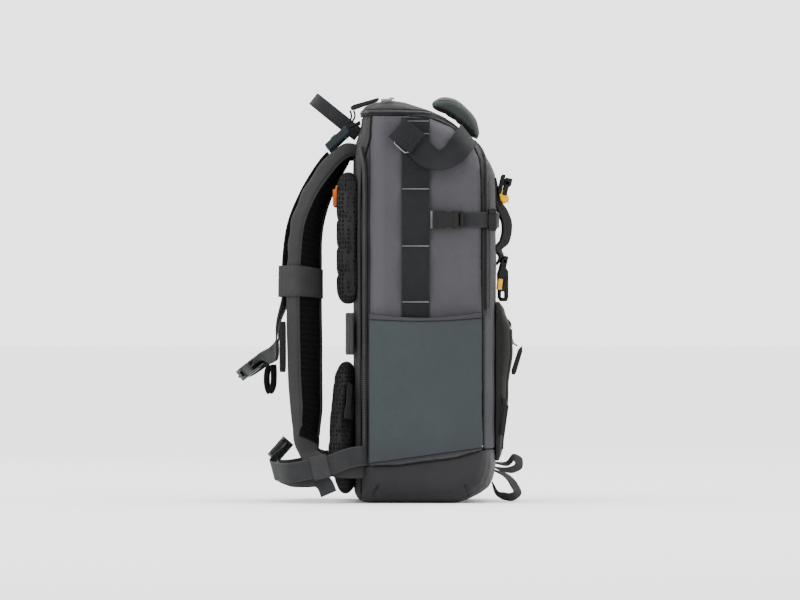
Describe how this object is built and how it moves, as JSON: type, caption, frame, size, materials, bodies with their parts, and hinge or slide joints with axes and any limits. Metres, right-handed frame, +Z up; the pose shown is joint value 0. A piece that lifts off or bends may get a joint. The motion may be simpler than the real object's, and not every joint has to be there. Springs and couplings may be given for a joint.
{
  "type": "camera backpack",
  "caption": "Tall boxy camera backpack with padded harness, hip belt, fastened chest and waist straps, stretch side pockets, daisy chains, padded top handle and front pocket.",
  "frame": {"origin": "centre of the bag width and depth at the flat base, at the floor", "axes": "+Z up, +X towards the front of the bag (away from the wearer), -X the harness side, -Y the wearer's left, +Y the wearer's right"},
  "size_m": [0.3753, 0.347, 0.537],
  "materials": {
    "side_fabric": "grey coated nylon",
    "dark_fabric": "dark grey woven nylon",
    "base_fabric": "dark grey coated nylon",
    "stretch_fabric": "green-grey stretch knit",
    "spacer_mesh": "black open spacer mesh",
    "strap_fabric": "grey nylon over foam",
    "webbing": "dark grey woven webbing",
    "elastic": "grey ribbed elastic",
    "buckle_plastic": "dark green-grey plastic",
    "black_plastic": "black plastic",
    "steel": "dull steel",
    "grip": "padded grey-green fabric",
    "pocket_fabric": "dark olive-black nylon",
    "yellow_plastic": "yellow plastic"
  },
  "bodies": {
    "root": {"side_panel_left": "side_fabric", "side_panel_right": "side_fabric", "front_panel": "dark_fabric", "back_panel": "dark_fabric", "lid": "dark_fabric", "base_boot": "base_fabric", "back_pad_left": "spacer_mesh", "back_pad_right": "spacer_mesh", "trolley_strap": "webbing", "hip_belt_pad": "spacer_mesh", "hip_keeper_left": "elastic", "hip_keeper_right": "elastic", "hip_strap_tail": "webbing", "hip_strap_left": "webbing", "hip_strap_right": "webbing", "hip_buckle_socket": "buckle_plastic", "hip_buckle_plug": "buckle_plastic", "sternum_buckle_socket": "buckle_plastic", "sternum_buckle_plug": "buckle_plastic", "sternum_strap_left": "webbing", "sternum_strap_right": "webbing", "sternum_tail": "webbing", "sternum_elastic": "black_plastic", "grab_handle": "webbing", "top_handle": "grip", "front_pocket": "pocket_fabric", "webbing_loop_upper": "webbing", "webbing_loop_lower": "webbing", "lid_pull": "black_plastic", "pocket_pull": "black_plastic", "shoulder_strap_left": "strap_fabric", "shoulder_strap_right": "strap_fabric", "strap_rail_left": "webbing", "strap_rail_right": "webbing", "strap_keeper_left": "elastic", "strap_keeper_right": "elastic", "load_lifter_left": "webbing", "load_lifter_right": "webbing", "lifter_adjuster_left": "buckle_plastic", "lifter_adjuster_right": "buckle_plastic", "top_handle_strap_left": "webbing", "top_handle_strap_right": "webbing", "d_ring_left": "steel", "d_ring_right": "steel", "daisy_chain_left": "webbing", "daisy_chain_right": "webbing", "side_pocket_left": "stretch_fabric", "side_pocket_right": "stretch_fabric", "compression_strap_left": "webbing", "compression_strap_right": "webbing", "compression_buckle_left": "black_plastic", "compression_buckle_right": "black_plastic", "front_hook_left": "webbing", "front_hook_right": "webbing", "hook_tab_left": "yellow_plastic", "hook_tab_right": "yellow_plastic", "lower_clip_left": "black_plastic", "lower_clip_right": "black_plastic"}
  },
  "joints": []
}
